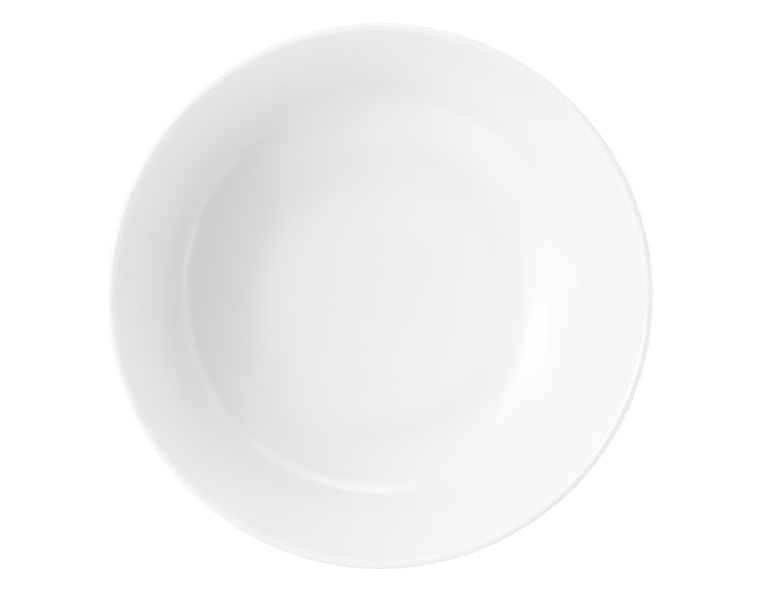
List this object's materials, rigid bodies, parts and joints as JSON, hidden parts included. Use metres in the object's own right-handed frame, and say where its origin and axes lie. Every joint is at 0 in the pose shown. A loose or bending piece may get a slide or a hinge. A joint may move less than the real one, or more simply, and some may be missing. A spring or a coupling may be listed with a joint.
{
  "type": "coupe bowl",
  "caption": "Round coupe bowl in white glazed porcelain with a level floor, a sweeping well, a straight flared wall, a rounded lip and a bare foot ring, for serving food",
  "frame": {"origin": "centre of the foot ring's standing face, on the table", "axes": "+Z is the bowl's axis, from the table up out of its mouth; it is round, so +X and +Y are any two directions square to that"},
  "size_m": [0.2, 0.2, 0.06],
  "materials": {
    "porcelain": "matte",
    "glaze": "gloss"
  },
  "bodies": {
    "root": {"porcelain_body": "porcelain", "glaze_coat": "glaze", "foot_well_glaze": "glaze"}
  },
  "joints": []
}
